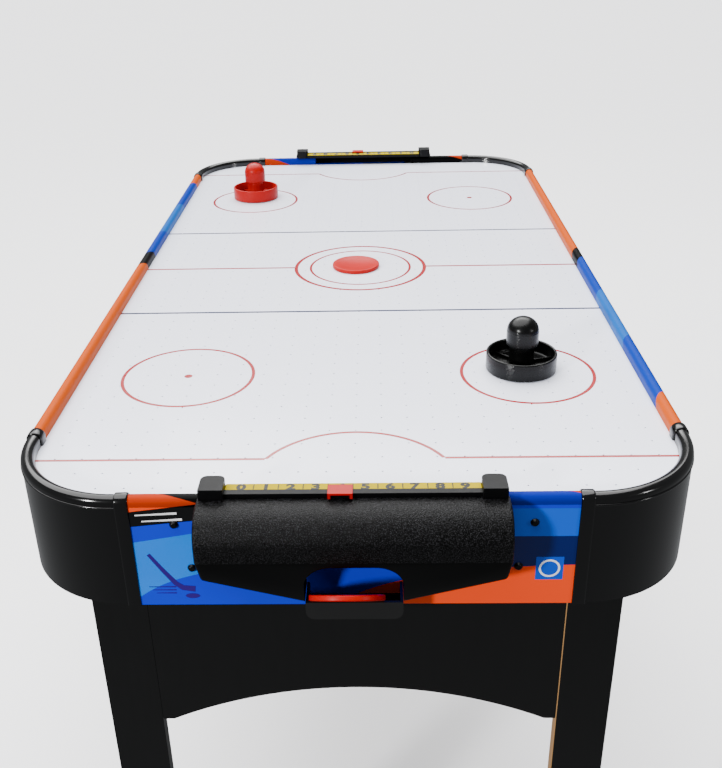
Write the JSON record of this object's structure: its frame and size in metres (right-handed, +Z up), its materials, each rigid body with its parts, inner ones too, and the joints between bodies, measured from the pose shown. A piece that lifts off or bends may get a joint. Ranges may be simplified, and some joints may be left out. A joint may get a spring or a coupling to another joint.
{
  "type": "air hockey table",
  "caption": "Free-standing air hockey table with a perforated playing deck, rounded corners, end goals with puck trays, slide scorers, blower, pushers and pucks.",
  "frame": {"origin": "on the floor, under the middle of the playing surface", "axes": "+Z up, +Y along the length towards the far goal, +X across to the right seen from the near end"},
  "size_m": [0.6283, 1.3116, 0.8201],
  "materials": {
    "playing_surface": "glossy white laminate",
    "bare_board": "raw fibreboard",
    "printed_apron": "printed laminate on board",
    "printed_rail": "printed plastic cap",
    "corner_plastic": "gloss moulded plastic",
    "black_board": "black laminated board",
    "glide_plastic": "matt",
    "zinc_steel": "zinc plated",
    "black_steel": "black coated",
    "grained_plastic": "leather-grained moulding",
    "scorer_plastic": "satin moulding",
    "scale_yellow": "printed strip",
    "red_plastic": "gloss moulding",
    "blower_plastic": "matt moulding",
    "wire_sheath": "flexible sheath",
    "black_plastic": "gloss moulding",
    "felt": "felt",
    "puck_plastic": "satin moulding"
  },
  "bodies": {
    "table": {"playfield": "playing_surface", "plenum_frame": "bare_board", "plenum_battens": "bare_board", "base_panel": "bare_board", "side_apron_left": "printed_apron", "side_apron_right": "printed_apron", "end_apron_near": "printed_apron", "end_apron_far": "printed_apron", "side_rail_left": "printed_rail", "side_rail_right": "printed_rail", "end_rails_near": "printed_rail", "end_rails_far": "printed_rail", "corner_near_left": "corner_plastic", "corner_near_right": "corner_plastic", "corner_far_left": "corner_plastic", "corner_far_right": "corner_plastic", "leg_bearer_near": "bare_board", "leg_bearer_far": "bare_board", "leg_panel_near": "black_board", "leg_panel_far": "black_board", "leg_near_left": "black_board", "leg_near_right": "black_board", "leg_far_left": "black_board", "leg_far_right": "black_board", "foot_glides": "glide_plastic", "leg_bolts": "zinc_steel", "apron_bolts_near": "black_steel", "apron_bolts_far": "black_steel", "goal_box_near": "grained_plastic", "goal_box_far": "grained_plastic", "puck_tray_near": "grained_plastic", "puck_tray_far": "grained_plastic", "scorer_body_near": "scorer_plastic", "scorer_body_far": "scorer_plastic", "scorer_scale_near": "scale_yellow", "scorer_scale_far": "scale_yellow", "blower_housing": "blower_plastic", "blower_motor": "zinc_steel", "blower_grille": "blower_plastic", "blower_screws": "zinc_steel", "blower_wiring": "wire_sheath", "power_inlet": "blower_plastic", "switch_bezel": "blower_plastic"},
    "impeller": {"impeller": "blower_plastic", "motor_shaft": "zinc_steel"},
    "rocker_switch": {"rocker_switch": "red_plastic"},
    "scorer_slider_near": {"scorer_slider_near": "red_plastic"},
    "scorer_slider_far": {"scorer_slider_far": "red_plastic"},
    "pusher_black": {"pusher_black": "black_plastic", "pusher_black_felt": "felt"},
    "pusher_red": {"pusher_red": "red_plastic", "pusher_red_felt": "felt"},
    "puck_centre": {"puck_centre": "puck_plastic"},
    "puck_in_tray": {"puck_in_tray": "puck_plastic"}
  },
  "joints": [
    {"name": "impeller_spin", "type": "hinge", "parent": "table", "child": "impeller", "pos_m": [0, 0, 0.712], "axis": [0, 0, 1], "continuous": true},
    {"name": "rocker_tilt", "type": "hinge", "parent": "table", "child": "rocker_switch", "pos_m": [0.3072, 0.3, 0.705], "axis": [0, 0, 1], "range_deg": [0, 18]},
    {"name": "near_slider_travel", "type": "slide", "parent": "table", "child": "scorer_slider_near", "axis": [1, 0, 0], "range_m": [-0.0837, 0.1047]},
    {"name": "far_slider_travel", "type": "slide", "parent": "table", "child": "scorer_slider_far", "axis": [1, 0, 0], "range_m": [-0.0837, 0.1047]},
    {"name": "pusher_black_slide", "type": "slide", "parent": "table", "child": "pusher_black", "axis": [0, 1, 0], "range_m": [-0.21, 0.29]},
    {"name": "pusher_red_slide", "type": "slide", "parent": "table", "child": "pusher_red", "axis": [0, 1, 0], "range_m": [-0.32, 0.18]},
    {"name": "puck_centre_slide", "type": "slide", "parent": "table", "child": "puck_centre", "axis": [0, 1, 0], "range_m": [-0.6, 0.6]},
    {"name": "puck_in_tray_lift", "type": "slide", "parent": "table", "child": "puck_in_tray", "axis": [0, -0.7934, 0.6088], "range_m": [0, 0.06]}
  ]
}
